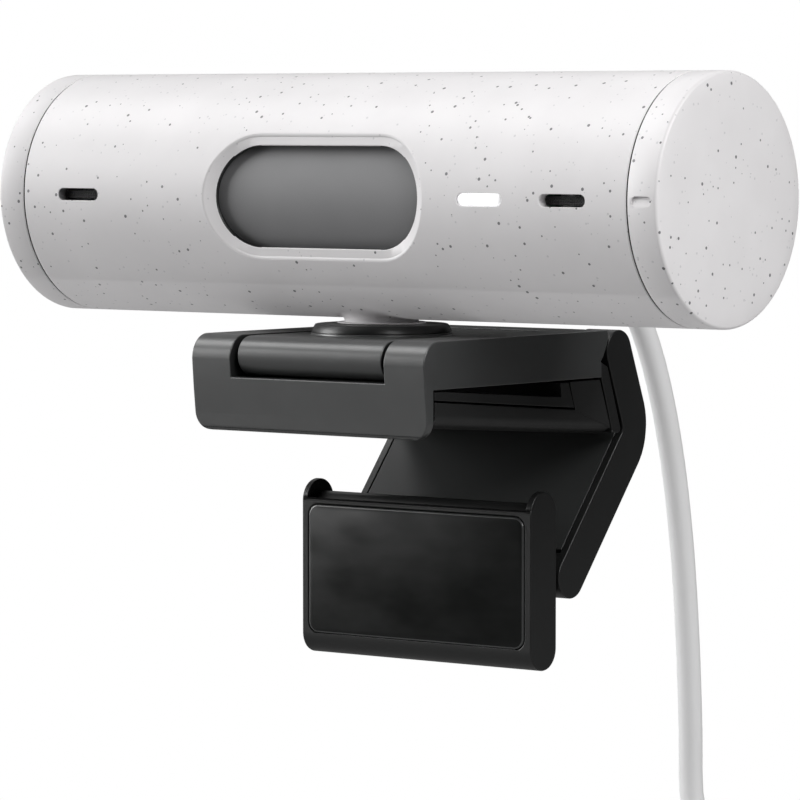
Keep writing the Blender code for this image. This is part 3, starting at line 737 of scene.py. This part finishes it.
def in_window(c):
    """Whether a face's middle is on the walls of the window's opening."""
    half = BEZEL_H / 2 - MOUTH_DH
    over = max(0.0, abs(c.x) - (BEZEL_W - BEZEL_H) / 2)
    return c.y < -8 and hypot(over, c.z) < half + 0.012


def below_skin(c):
    return hypot(c.y, c.z) < TUBE_R - 0.12


def eased(x, way):
    """Section of a seam's softened edge at x, rising to the skin in that way along the tube."""
    return [(x, TUBE_R - 0.16), (x + way * 0.05, TUBE_R - 0.05), (x + way * 0.16, TUBE_R)]


def slot_cutter(x):
    """A microphone or light slot with a slightly eased mouth."""
    steps = [(0.05, 18.0), (0.05, 16.07), (0.0, 16.0), (0.0, 15.9), (0.0, 12.0)]
    return loft([on_tube(stadium(SLOT_W + 2 * d, SLOT_H + 2 * d, 12), x, r) for d, r in steps])


def saddle():
    """Neck that flows out of the tube's underside in a soft fillet, over a thin flange."""
    around, down = 128, 12
    neck_r, neck_z = 4.85, -16.38
    flange = [(neck_r, -16.42), (5.75, -16.45), (5.85, -16.5), (5.85, -16.56), (5.75, -16.6)]
    rings = [[] for _ in range(down + 2 + len(flange))]
    for i in range(around):
        a = 2 * pi * i / around
        way = Vector((cos(a), sin(a), 0))
        axis = Vector((0, PAN_Y, 0))
        start = way * (5.6 + 1.9 * abs(sin(a)) ** 1.5) + axis
        start.z = -sqrt((TUBE_R - 0.004) ** 2 - start.y ** 2)
        up = Vector((0, start.y, start.z)).normalized()
        inward = (-way - up * (-way).dot(up)).normalized()
        end = way * neck_r + axis + Vector((0, 0, neck_z))
        span = (end - start).length
        ctrl = (start, start + inward * span * 0.5, end + Vector((0, 0, 0.3 * span)), end)
        rings[0].append(start * 0.94)
        for k in range(down + 1):
            t = k / down
            rings[k + 1].append(ctrl[0] * (1 - t) ** 3 + ctrl[1] * 3 * t * (1 - t) ** 2
                                + ctrl[2] * 3 * t * t * (1 - t) + ctrl[3] * t ** 3)
        for k, (r, z) in enumerate(flange):
            rings[down + 2 + k].append(way * r + axis + Vector((0, 0, z)))
    bore = turned([(-18, 0), (-18, NECK_BORE), (-12, NECK_BORE), (-12, 0)], "Z", (0, PAN_Y, 0), 48)
    return cut(loft(rings), bore)


def tube():
    r0, end = TUBE_R - TUBE_WALL, SEAM_R - 0.22
    outline = [(SEAM_L, r0)] + eased(SEAM_L, 1) + eased(end, -1)[::-1] + [(end, r0)]
    shell = turned(outline, "X", (0, 0, 0), AROUND)
    bore = turned([(-18, 0), (-18, NECK_BORE), (-14.4, NECK_BORE), (-14.4, 0)], "Z",
                  (0, PAN_Y, 0), 48)
    hole = turned([(12, 0), (12, 3.2), (18, 3.2), (18, 0)], "Y", (0, 0, CORD_EXIT_Z), 48)
    slots = [slot_cutter(x) for x in (-MIC_X, MIC_X, LED_X)]
    shell = cut(shell, window_cutter(), *slots, bore, hole)

    def zone_or_painted_light(c):
        """Painted shade: black on the window opening's walls for the shadow on the shutter, black
        on the seam walls for the shade in the seam gaps, grey on the left microphone slot's walls
        for the shade there.
        """
        if not below_skin(c):
            return 0
        if in_window(c) or c.x < SEAM_L + 0.02 or c.x > end - 0.02:
            return 1
        return 2 if c.y < -8 and hypot(c.x + MIC_X, c.z) < SLOT_W / 2 + 0.1 else 0

    # The window, seam and left slot walls take painted shade from the picker above.
    put("tube_skin", shell, "shell", "camera", ["tube_shell"], tube_radii=(TUBE_R,), smooth=26,
        zone_or_painted_light=zone_or_painted_light, zone_looks=("black", "shutter"))
    put("neck_saddle", saddle(), "shell", "camera", smooth=50)


DOME = 0.32                          # how far the rim of an end face falls back


def end_outline(seam, sign):
    """Half section of an end: eased seam, plain rim, small corner, slightly domed face."""
    face = sign * TUBE_HALF
    corner = [(face - sign * (DOME * 1.1 + 0.5 * (1 - sin(t))), TUBE_R - 0.5 * (1 - cos(t)))
              for t in [radians(75) * i / 8 for i in range(8, -1, -1)]]
    dome = [(face - sign * DOME * (r / 15) ** 3, r) for r in range(0, 15)]
    return (dome + corner + eased(seam, sign)[::-1]
            + [(seam, 14.2), (seam - sign * 2.6, 14.2), (seam - sign * 2.6, 12.4),
               (seam + sign * 1.6, 11.8), (seam + sign * 1.6, 0)])


def ends():
    cap = turned(end_outline(SEAM_L - SEAM_GAP, -1), "X", (0, 0, 0), AROUND)
    # The cap's seam walls take the black look: painted shade in the seam gap.
    put("end_cap_skin", cap, "shell", "camera", ["left_end_cap"], smooth=40,
        zone_or_painted_light=lambda c: c.x > SEAM_L - SEAM_GAP - 0.02 and below_skin(c))
    dial = turned(end_outline(SEAM_R, 1), "X", (0, 0, 0), AROUND)
    shape = stadium(NOTCH_W, NOTCH_H, 10)
    shallow, slope = 0.014, 0.4 / NOTCH_H
    deep = [(NOTCH_X + x, -TUBE_R + shallow + slope * (z + NOTCH_H / 2), z) for x, z in shape]
    notch = loft([[(NOTCH_X + x, -18, z) for x, z in shape], deep])
    # The dial's seam walls take the black look: painted shade in the seam gap.
    put("dial_skin", cut(dial, notch), "shell", "shutter", ["shutter_dial"], smooth=40,
        zone_or_painted_light=lambda c: c.x < SEAM_R + 0.02 and below_skin(c))


def drum():
    """Turning inner sleeve: a curved blade over the lens, an arm and a ring."""
    xs = [-19.2, 19.2, 41.5, 46.6]
    step, r0, r1 = 2.5, 13.3, 14.1
    angles = [-35 + step * i for i in range(int(360 / step))]
    cells = set()
    for j, a in enumerate(angles):
        cells |= {(i, j) for i, on in enumerate((a < 70, 40 <= a < 70, True)) if on}
    bm = bmesh.new()
    store = {}

    def vert(i, j, r):
        j %= len(angles)
        if (i, j, r) not in store:
            a = radians(angles[j])
            store[i, j, r] = bm.verts.new((xs[i], -r * cos(a), r * sin(a)))
        return store[i, j, r]

    for i, j in cells:
        q = [(i, j), (i + 1, j), (i + 1, j + 1), (i, j + 1)]
        bm.faces.new([vert(*c, r1) for c in q])
        bm.faces.new([vert(*c, r0) for c in reversed(q)])
        n = len(angles)
        around = [((i, (j - 1) % n), q[0], q[1]), ((i + 1, j), q[1], q[2]),
                  ((i, (j + 1) % n), q[2], q[3]), ((i - 1, j), q[3], q[0])]
        for cell, a, b in around:
            if cell not in cells:
                bm.faces.new((vert(*a, r1), vert(*a, r0), vert(*b, r0), vert(*b, r1)))
    put("shutter_blade", bm, "shutter", "shutter", ["shutter_drum"], smooth=20)


def slot_fittings():
    """Woven gauze behind each microphone slot, and the light guide in its own."""
    for side, x in (("left", -MIC_X), ("right", MIC_X)):
        shape = stadium(SLOT_W - 0.5, SLOT_H - 0.5, 10)
        gauze = plate_y(shape, x, 0, -14.9, -14.6)
        pitch, thread = 0.34, 0.055
        strands = []
        for k in range(-9, 10):
            strands.append(block(x + k * pitch - thread, x + k * pitch + thread, -14.98, -14.8,
                                 -0.52, 0.52))
        for k in (-1, 0, 1):
            strands.append(block(x - 3.1, x + 3.1, -15.01, -14.8, k * pitch - thread,
                                 k * pitch + thread))
        for strand in strands:
            add_to(gauze, strand)
        put("mic_gauze_" + side, gauze, "mesh", "camera", ["mic_mesh_" + side])
    w, h = SLOT_W - 0.16, SLOT_H - 0.16
    loops = [on_tube(stadium(w - 2 * d, h - 2 * d, 12), LED_X, r) for d, r in
             ((0.0, 13.6), (0.0, 15.85), (0.05, 15.98), (0.16, 16.05), (0.3, 16.07))]
    put("light_window", loft(loops), "light_guide", "camera", ["led_light_guide"], smooth=45)


# ---------------------------------------------------------------- tilting plate
def plate():
    top = TILT_Z + BARREL_R
    bottom = top - 2.2
    run = sqrt(BARREL_R ** 2 - (bottom - TILT_Z) ** 2)
    outline = [(PLATE_REAR, bottom), (PLATE_REAR, top)]
    outline += arc(TILT_Y, TILT_Z, BARREL_R, 90, 360, 48)
    outline += [(TILT_Y + run, bottom)]
    body = slab(outline, -PLATE_HALF, PLATE_HALF)
    boss = turned([(top - 0.5, 0), (top - 0.5, 9.25), (top + 0.34, 9.25), (top + 0.34, 0)], "Z",
                  (0, PAN_Y, 0), 128)
    trims = [block(x - 0.8, x + 0.8, -18, -12.6, -24, -18) for x in (12.6, -12.6)]
    body = cut(join(body, boss), rod(-14, 14, TILT_Y, TILT_Z, FRONT_BORE), *trims)
    # The barrel's trimmed end faces take the black look: painted shadow in the gaps beside the
    # barrel.
    put("plate_skin", body, "graphite", "plate", ["top_plate"], edge=0.16, segments=3,
        zone_or_painted_light=lambda c: 11.7 < abs(c.x) < 11.85 and c.y < -12.5)
    high = DISC_TOP_Z + 0.3
    disc = [(top + 0.3, 4.6), (top + 0.3, 9.1), (top + 0.38, 9.2), (top + 0.5, 9.2),
            (high - 0.15, 8.8), (high - 0.04, 8.7), (high, 8.55), (high, 4.6)]
    put("disc_skin", turned(disc, "Z", (0, PAN_Y, 0), 128), "black", "plate", ["swivel_disc"])


# ---------------------------------------------------------------- clip
def lip_corner(side):
    """What is cut away to round the lip's lower corner at one side."""
    c = LIP_CORNER
    edge = arc(CLIP_HALF - c, LIP_BOTTOM + c, c, 0, -90, 14)
    edge += [(CLIP_HALF - c, LIP_BOTTOM - 2), (CLIP_HALF + 2, LIP_BOTTOM - 2),
             (CLIP_HALF + 2, LIP_BOTTOM + c)]
    return plate_y([(side * x, z) for x, z in edge], 0, 0, -19, LIP_REAR + 0.2)


def clip():
    r = 3.2
    outline = [(-16.2, -30.15), (-16.08, -30.4), (-15.8, -30.55), (-15.2, -30.55),
               (-14.97, -30.47), (-14.9, -30.25), (LIP_REAR, CLIP_FLOOR), (22.0, CLIP_FLOOR),
               (24.5, -31.3), (24.3, -31.65), (26.15, -31.75), (26.5, -31.2), (23.45, -22.8),
               (21.85, -22.1), (22.45, -21.4), (22.9, -20.6), (23.25, -19.9), (23.45, -19.2),
               (23.5, -18.25), (23.35, CLIP_TOP)]
    top = arc(LIP_FRONT + 3.0, CLIP_TOP - r, 1.0, 90, 180, 16)
    outline += [(LIP_FRONT + 3.0 + (y - LIP_FRONT - 3.0) * 3.0,
                 CLIP_TOP - r + (z - CLIP_TOP + r) * r) for y, z in top]
    outline += [(-16.7, -25.0), (-16.34, -28.3)]
    body = cut(slab(outline, -CLIP_HALF, CLIP_HALF), lip_corner(1), lip_corner(-1))
    recess = [(-19, -23.5), (-10.8, -23.5), (-10.8, -20.75), (PLATE_REAR + 0.4, -20.75),
              (PLATE_REAR + 0.4, -15), (-19, -15)]
    body = cut(body, slab(recess, -PLATE_HALF - 0.5, PLATE_HALF + 0.5))
    k = CENTRE_KNUCKLE
    web = [(21.0, -23.0), (LEG_Y, -23.5), (LEG_Y, -18.1), (21.0, -18.1)]
    body = join(body, slab(web, -k, k), rod(-k, k, LEG_Y, LEG_Z, 2.7, 64))
    body = cut(body, rod(-17.6, 17.6, TILT_Y, TILT_Z, FRONT_BORE),
               rod(-k - 1, k + 1, LEG_Y, LEG_Z, LEG_BORE))
    strut_y, strut_top = 21.93, -22.1
    bmesh.ops.bisect_plane(body, geom=body.verts[:] + body.edges[:] + body.faces[:],
                           plane_co=(0, strut_y, 0), plane_no=(0, 1, 0))
    # The body's lower rear part behind the strut line takes the black look; the plate recess's side
    # walls are black as painted shade.
    put("clip_skin", body, "graphite", "clip", ["clip_body"], edge=0.16,
        zone_or_painted_light=lambda c: c.y > strut_y and c.z < strut_top
        or abs(abs(c.x) - PLATE_HALF - 0.5) < 0.02 and c.z > -23.4)
    strut = [(LIP_REAR + 0.3, -24.5), (-12.6, -24.5), (13.1, -26.35), (12.75, -24.5),
             (14.6, -24.5), (15.9, -27.9), (LIP_REAR + 0.3, -25.5)]
    put("wedge_strut", slab(strut, -CLIP_HALF + 0.1, CLIP_HALF - 0.1), "black", "clip",
        ["wedge_frame"], edge=0.1)
    y0, y1 = LIP_REAR + 0.3, 23.85
    z0, z1 = (WEDGE_Z + WEDGE_SLOPE * (y - PAN_Y) for y in (y0, y1))
    outline = [(y0, -25.75), (16.05, -28.2), (14.85, -24.45), (21.7, -24.45), (24.15, -31.1),
               (y1, z1), (y0, z0)]
    lower = len(outline) - 2
    round_r, half, loops = 1.8, CLIP_HALF - 0.05, []
    turn = [radians(90 * i / 8) for i in range(9)]
    for side, order in ((-1, turn), (1, turn[::-1])):
        for t in order:
            x = side * (half - round_r * (1 - cos(t)))
            lift = round_r * (1 - sin(t))
            loops.append([(x, y, z + (lift if i >= lower else 0))
                          for i, (y, z) in enumerate(outline)])
    put("wedge_rubber", loft(loops), "rubber", "clip", ["wedge_pad"], edge=0.12, limit=40)


# ---------------------------------------------------------------- leg
def leg():
    outline = arc(LEG_Y, LEG_Z, KNUCKLE_R, 203, 20, 40)
    outline += [(32.05, -28.05), (32.35, -29.1), (32.5, -30.0), (32.55, -31.0), (32.45, -32.0),
                (32.28, -33.0), (32.0, -33.9), (31.55, -34.9), (30.9, -35.9)]
    outline += arc(END_Y, END_Z, END_R, 320, 140, 32)
    outline += [(26.4, -32.25), (26.8, -31.8), (26.95, -31.35), (26.98, -30.9), (26.9, -30.5)]
    shank = slab(outline, -CLIP_HALF, CLIP_HALF)
    face = [(24.2, -25.0), (26.3, -30.4), (26.3, -31.4), (25.8, -32.1), (13.7, -46.6),
            (15.1, -47.8), (27.3, -33.0), (28.15, -31.5), (28.0, -30.05), (25.9, -24.4)]
    shank = cut(shank, slab(face, -PANEL_SEAT_HALF, PANEL_SEAT_HALF))
    top_gap = [(20, -16), (31, -16), (31, -24.4), (20, -24.4)]
    u = Vector((0.6455, 0.7638))
    v = Vector((-0.7638, 0.6455))
    c = Vector((END_Y, END_Z))
    low_gap = [tuple(c + u * a + v * b) for a, b in ((3.4, 6), (3.4, -6), (-6, -6), (-6, 6))]
    shank = cut(shank, slab(top_gap, -LEG_GAP_HALF, LEG_GAP_HALF),
                slab(low_gap, -LINK_GAP_HALF, LINK_GAP_HALF))
    pin = 17.4
    shank = cut(shank, rod(-pin, pin, LEG_Y, LEG_Z, LEG_BORE), rod(-pin, pin, END_Y, END_Z, 1.15))
    put("leg_skin", shank, "black", "leg", ["leg_frame"], edge=0.16)
    panel = [(25.0, -25.3), (27.0, -30.45), (27.05, -31.35), (26.45, -32.28), (14.5, -46.6),
             (15.05, -47.2), (27.05, -32.75), (27.8, -31.4), (27.7, -30.2), (25.65, -25.0)]
    put("panel_skin", slab(panel, -PANEL_HALF, PANEL_HALF), "panel", "leg", ["leg_panel"],
        edge=0.12)


# ---------------------------------------------------------------- link and foot
def link():
    a, b = Vector((FOOT_Y, FOOT_Z)), Vector((END_Y, END_Z))
    d = (b - a).normalized()
    n = Vector((-d.y, d.x)) * 1.05
    body = slab([tuple(p) for p in (a + n, b + n, b - n, a - n)], -LINK_HALF, LINK_HALF)
    body = join(body, rod(-LINK_HALF, LINK_HALF, END_Y, END_Z, 2.3, 64),
                rod(0.3 - EAR_INSIDE, EAR_INSIDE - 0.3, FOOT_Y, FOOT_Z, 1.7, 64))
    body = cut(body, rod(-18, 18, END_Y, END_Z, 1.1), rod(-18, 18, FOOT_Y, FOOT_Z, FOOT_BORE))
    put("link_skin", body, "black", "link", ["foot_link"], edge=0.1)


def foot():
    """Foot frame with two ears and a seat for the link, and the grip pad in its recess."""
    mid, r = (FOOT_FRONT + FOOT_BACK) / 2, (FOOT_BACK - FOOT_FRONT) / 2
    outline = arc(mid, FOOT_TOP - r, r, 0, 180, 36) + arc(mid, FOOT_BOTTOM + r, r, 180, 360, 36)
    body = slab(outline, -CLIP_HALF, CLIP_HALF)
    seat = [(4, -41.3), (6.5, -41.05), (7.3, -41.3), (7.3, -44.0), (13, -44.0), (13, -36),
            (4, -36)]
    ramp = [(7.3, -43.0), (7.4, -44.4), (12.5, -50.2), (13, -43.0)]
    body = cut(body, slab(seat, -EAR_INSIDE, EAR_INSIDE), slab(ramp, -LINK_GAP_HALF, LINK_GAP_HALF))
    body = cut(body, plate_y(rounded(PAD_W, PAD_H, 1.6), 0, PAD_Z, 5, FOOT_FRONT + 0.5))
    body = cut(body, rod(-18.9, 18.9, FOOT_Y, FOOT_Z, FOOT_BORE))
    put("foot_skin", body, "black", "foot", ["foot_frame"], edge=0.2)
    w, h = PAD_W - 0.2, PAD_H - 0.2
    face, back = FOOT_FRONT - 0.12, FOOT_FRONT + 0.38
    steps = [(0.22, back), (0.0, back), (0.0, face + 0.22), (0.03, face + 0.11),
             (0.11, face + 0.03), (0.22, face)]
    pad = loft([[(x, y, PAD_Z + z) for x, z in rounded(w - 2 * i, h - 2 * i, 1.5 - i, 8)]
                for i, y in steps])
    # The pad's rounded rim and sides take the lighter graphite look: a painted highlight along the
    # pad's edge.
    put("pad_skin", pad, "grip_pad", "foot", ["foot_pad"], smooth=60, zone_looks=("graphite",),
        zone_or_painted_light=lambda c: face + 0.005 < c.y < back)


tube()
ends()
drum()
slot_fittings()
plate()
clip()
leg()
link()
foot()

# ---------------------------------------------------------------- inner parts kept from CAD
KEPT = {
    "lens_glass": ["lens_window", "lens_front_element", "lens_rear_element", "image_sensor"],
    "black": ["lens_barrel", "autofocus_housing", "chassis_frame", "dial_bearing"],
    "board": ["sensor_board", "main_board", "led_board"],
    "steel": ["processor_shield", "mic_capsule_left", "mic_capsule_right", "disc_magnet",
              "front_hinge_pin", "friction_washer_left", "friction_washer_right",
              "leg_hinge_pin", "link_pin", "foot_pin"] + ["board_screw_%d" % k
                                                          for k in (1, 2, 3, 4)],
    "brass": ["thread_insert"],
    "socket": ["cable_socket", "led_chip"],
}
for slot, names in KEPT.items():
    for name in names:
        data = frame["nodes"][name].data
        data.materials.clear()
        data.materials.append(LOOK[slot])
        for p in data.polygons:
            p.material_index = 0


# ---------------------------------------------------------------- floor, world and light
def only_for_camera(tree, seen, lit):
    """The seen colour to the camera's own rays and the lit one to everything else."""
    path = tree.nodes.new("ShaderNodeLightPath")
    mix = tree.nodes.new("ShaderNodeMixShader")
    tree.links.new(path.outputs["Is Camera Ray"], mix.inputs["Fac"])
    tree.links.new(lit, mix.inputs[1])
    tree.links.new(seen, mix.inputs[2])
    return mix.outputs[0]


FLOOR_FADE = 0.22, 0.55              # metres from the origin where it turns to plain white


def floor():
    """Pale disc under the object; it lights the object less than it is seen."""
    bm = bmesh.new()
    bmesh.ops.create_circle(bm, cap_ends=True, radius=9.0, segments=96)
    me = bpy.data.meshes.new("floor")
    bm.to_mesh(me)
    bm.free()
    ob = bpy.data.objects.new("floor", me)
    ob.location = (0, 0, (FLOOR_Z - ORIGIN.z) * MM)
    SCENE.collection.objects.link(ob)
    mat = bpy.data.materials.new("floor_look")
    mat.use_nodes = True
    tree = mat.node_tree
    matt = tree.nodes["Principled BSDF"]
    matt.inputs["Base Color"].default_value = (0.86, 0.86, 0.86, 1)
    matt.inputs["Roughness"].default_value = 0.9
    dim = tree.nodes.new("ShaderNodeBsdfDiffuse")
    dim.inputs["Color"].default_value = (0.3, 0.3, 0.3, 1)
    white = tree.nodes.new("ShaderNodeEmission")
    white.inputs["Color"].default_value = (1, 1, 1, 1)
    place = tree.nodes.new("ShaderNodeNewGeometry")
    far = tree.nodes.new("ShaderNodeVectorMath")
    far.operation = "LENGTH"
    tree.links.new(place.outputs["Position"], far.inputs[0])
    fade = tree.nodes.new("ShaderNodeMapRange")
    fade.inputs["From Min"].default_value, fade.inputs["From Max"].default_value = FLOOR_FADE
    tree.links.new(far.outputs["Value"], fade.inputs["Value"])
    mix = tree.nodes.new("ShaderNodeMixShader")
    tree.links.new(fade.outputs["Result"], mix.inputs["Fac"])
    tree.links.new(matt.outputs["BSDF"], mix.inputs[1])
    tree.links.new(white.outputs["Emission"], mix.inputs[2])
    out = tree.nodes["Material Output"]
    tree.links.new(only_for_camera(tree, mix.outputs[0], dim.outputs["BSDF"]),
                   out.inputs["Surface"])
    me.materials.append(mat)


WORLD_LIGHT = 0.01


def world():
    """White to the camera, nearly dark as a light."""
    w = bpy.data.worlds.new("world")
    w.use_nodes = True
    tree = w.node_tree
    lit = tree.nodes["Background"]
    lit.inputs["Color"].default_value = (1, 1, 1, 1)
    lit.inputs["Strength"].default_value = WORLD_LIGHT
    seen = tree.nodes.new("ShaderNodeBackground")
    seen.inputs["Color"].default_value = (1, 1, 1, 1)
    tree.links.new(only_for_camera(tree, seen.outputs[0], lit.outputs[0]),
                   tree.nodes["World Output"].inputs["Surface"])
    SCENE.world = w
    SCENE.view_settings.view_transform = "Standard"


# name: (direction from the object, distance, width, height, power)
LIGHTS = {
    "key": ((-0.75, -0.15, 0.75), 1.2, 0.7, 0.5, 4.2),
    "fill": ((-0.35, -0.35, 0.90), 1.2, 1.2, 0.9, 1.9),
    "left": ((-1.0, -0.5, 0.25), 1.1, 0.6, 0.6, 9.2),
    "right_top": ((0.9, -0.1, 0.74), 1.1, 0.6, 0.6, 8.5),
    "near": ((0.17, -0.10, 0.10), 0.24, 0.08, 0.08, 0.12),
    "rear": ((-0.5, 0.7, 0.7), 1.1, 0.8, 0.6, 0.95),
    "under": ((0.15, 0.15, -1.0), 1.0, 1.2, 0.8, 4.7),
}


PALE = ("tube_skin", "neck_saddle", "end_cap_skin", "dial_skin", "cord", "cord_sleeve")


def lights():
    """Soft rectangular lamps; the one underneath lights the pale pieces alone."""
    target = row((0, 0, -12))
    pale_pieces = bpy.data.collections.new("lit_from_below")
    for name in PALE:
        pale_pieces.objects.link(bpy.data.objects[name])
    for name, (way, distance, width, height, power) in LIGHTS.items():
        data = bpy.data.lights.new(name, "AREA")
        data.shape, data.size, data.size_y, data.energy = "RECTANGLE", width, height, power
        lamp = bpy.data.objects.new(name, data)
        way = Vector(way).normalized()
        lamp.location = target + way * distance
        lamp.rotation_mode = "QUATERNION"
        lamp.rotation_quaternion = way.to_track_quat("Z", "Y")
        lamp.visible_camera = False
        if name == "under":
            lamp.light_linking.receiver_collection = pale_pieces
            lamp.light_linking.blocker_collection = pale_pieces
        SCENE.collection.objects.link(lamp)


floor()
world()
lights()
